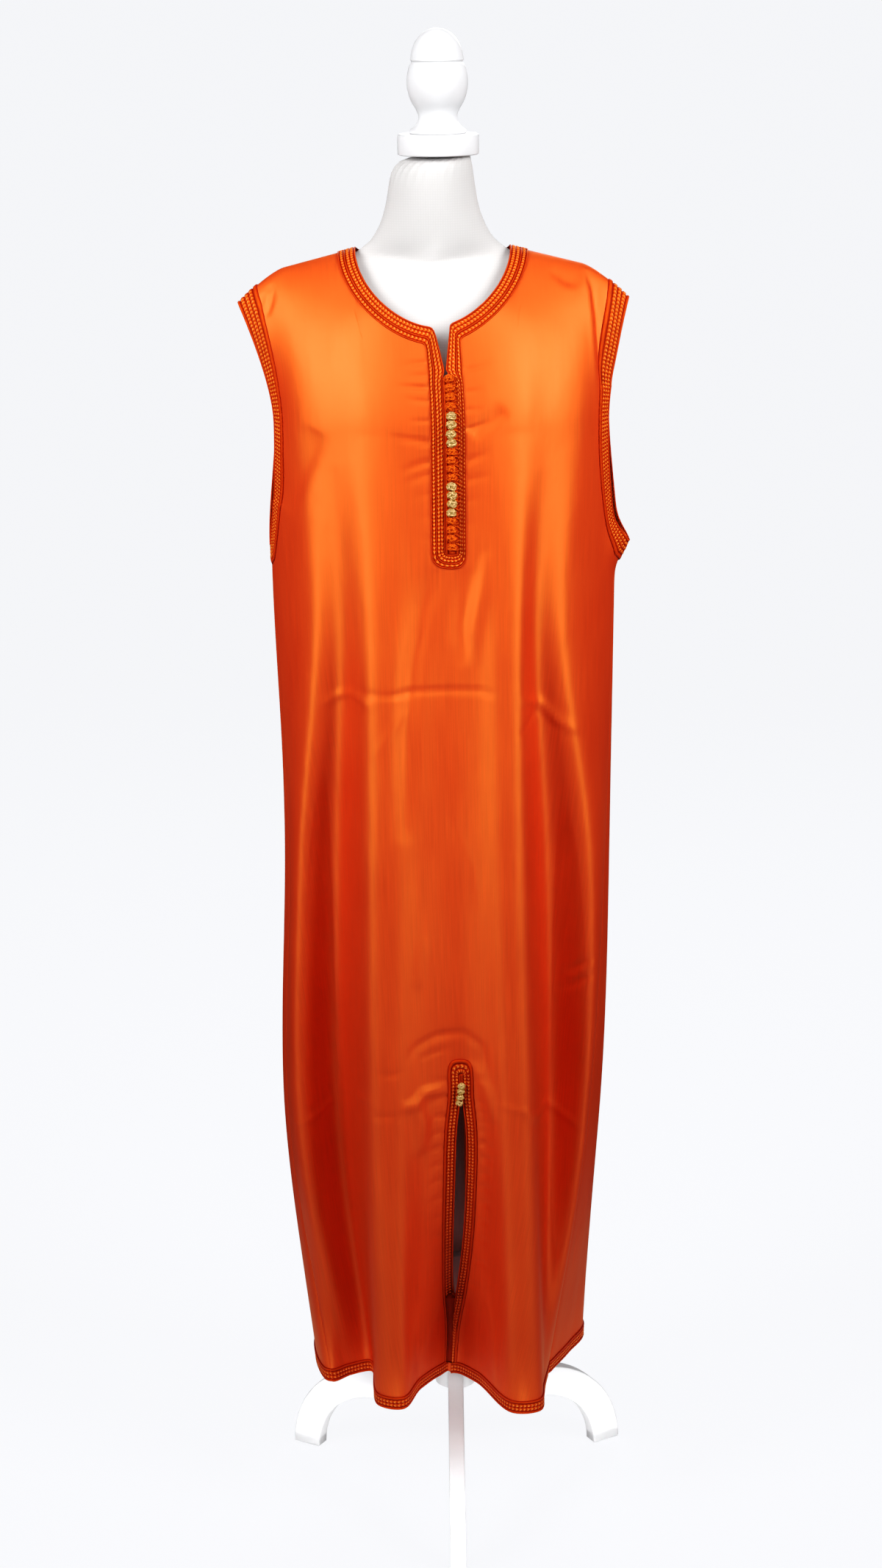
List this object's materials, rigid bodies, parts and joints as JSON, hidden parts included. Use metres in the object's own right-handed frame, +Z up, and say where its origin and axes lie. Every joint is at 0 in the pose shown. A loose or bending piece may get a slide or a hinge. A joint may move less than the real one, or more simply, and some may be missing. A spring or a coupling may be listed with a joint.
{
  "type": "gandoura on dress form",
  "caption": "Long sleeveless satin robe with braided trim and knot buttons, worn by a limbless dress form on a turned wooden tripod stand.",
  "frame": {"origin": "on the floor, under the middle of the whole", "axes": "+Z up, the garment's front faces -Y, +X is on the right of a person looking at the front"},
  "size_m": [0.4256, 0.3686, 1.7],
  "materials": {
    "satin": "bright orange satin with a soft sheen",
    "braid": "orange silk braid, matte, with rows of fine stitches",
    "knot_orange": "orange knotted cord",
    "knot_gold": "pale gold metallic thread",
    "form_cover": "smooth white jersey cover",
    "stand_wood": "white satin paint"
  },
  "bodies": {
    "root": {"front_panel": "satin", "back_panel": "satin", "hem_trim_front_left": "braid", "hem_trim_front_right": "braid", "hem_trim_back": "braid", "slit_trim": "braid", "arm_trim_left_front": "braid", "arm_trim_right_front": "braid", "arm_trim_right_back": "braid", "arm_trim_left_back": "braid", "placket_trim": "braid", "button_strip": "braid", "neck_trim_front_left": "braid", "neck_trim_front_right": "braid", "neck_trim_back": "braid", "button_01": "knot_orange", "button_02": "knot_orange", "button_03": "knot_orange", "button_04": "knot_orange", "button_05": "knot_gold", "button_06": "knot_gold", "button_07": "knot_gold", "button_08": "knot_gold", "button_09": "knot_orange", "button_10": "knot_orange", "button_11": "knot_orange", "button_12": "knot_orange", "button_13": "knot_gold", "button_14": "knot_gold", "button_15": "knot_gold", "button_16": "knot_gold", "button_17": "knot_orange", "button_18": "knot_orange", "button_19": "knot_orange", "button_20": "knot_orange", "slit_bar_tack": "knot_gold", "form_torso": "form_cover", "neck_cap": "stand_wood", "finial": "stand_wood", "pole": "stand_wood", "hub": "stand_wood", "leg_front": "stand_wood", "leg_back_right": "stand_wood", "leg_back_left": "stand_wood"}
  },
  "joints": []
}
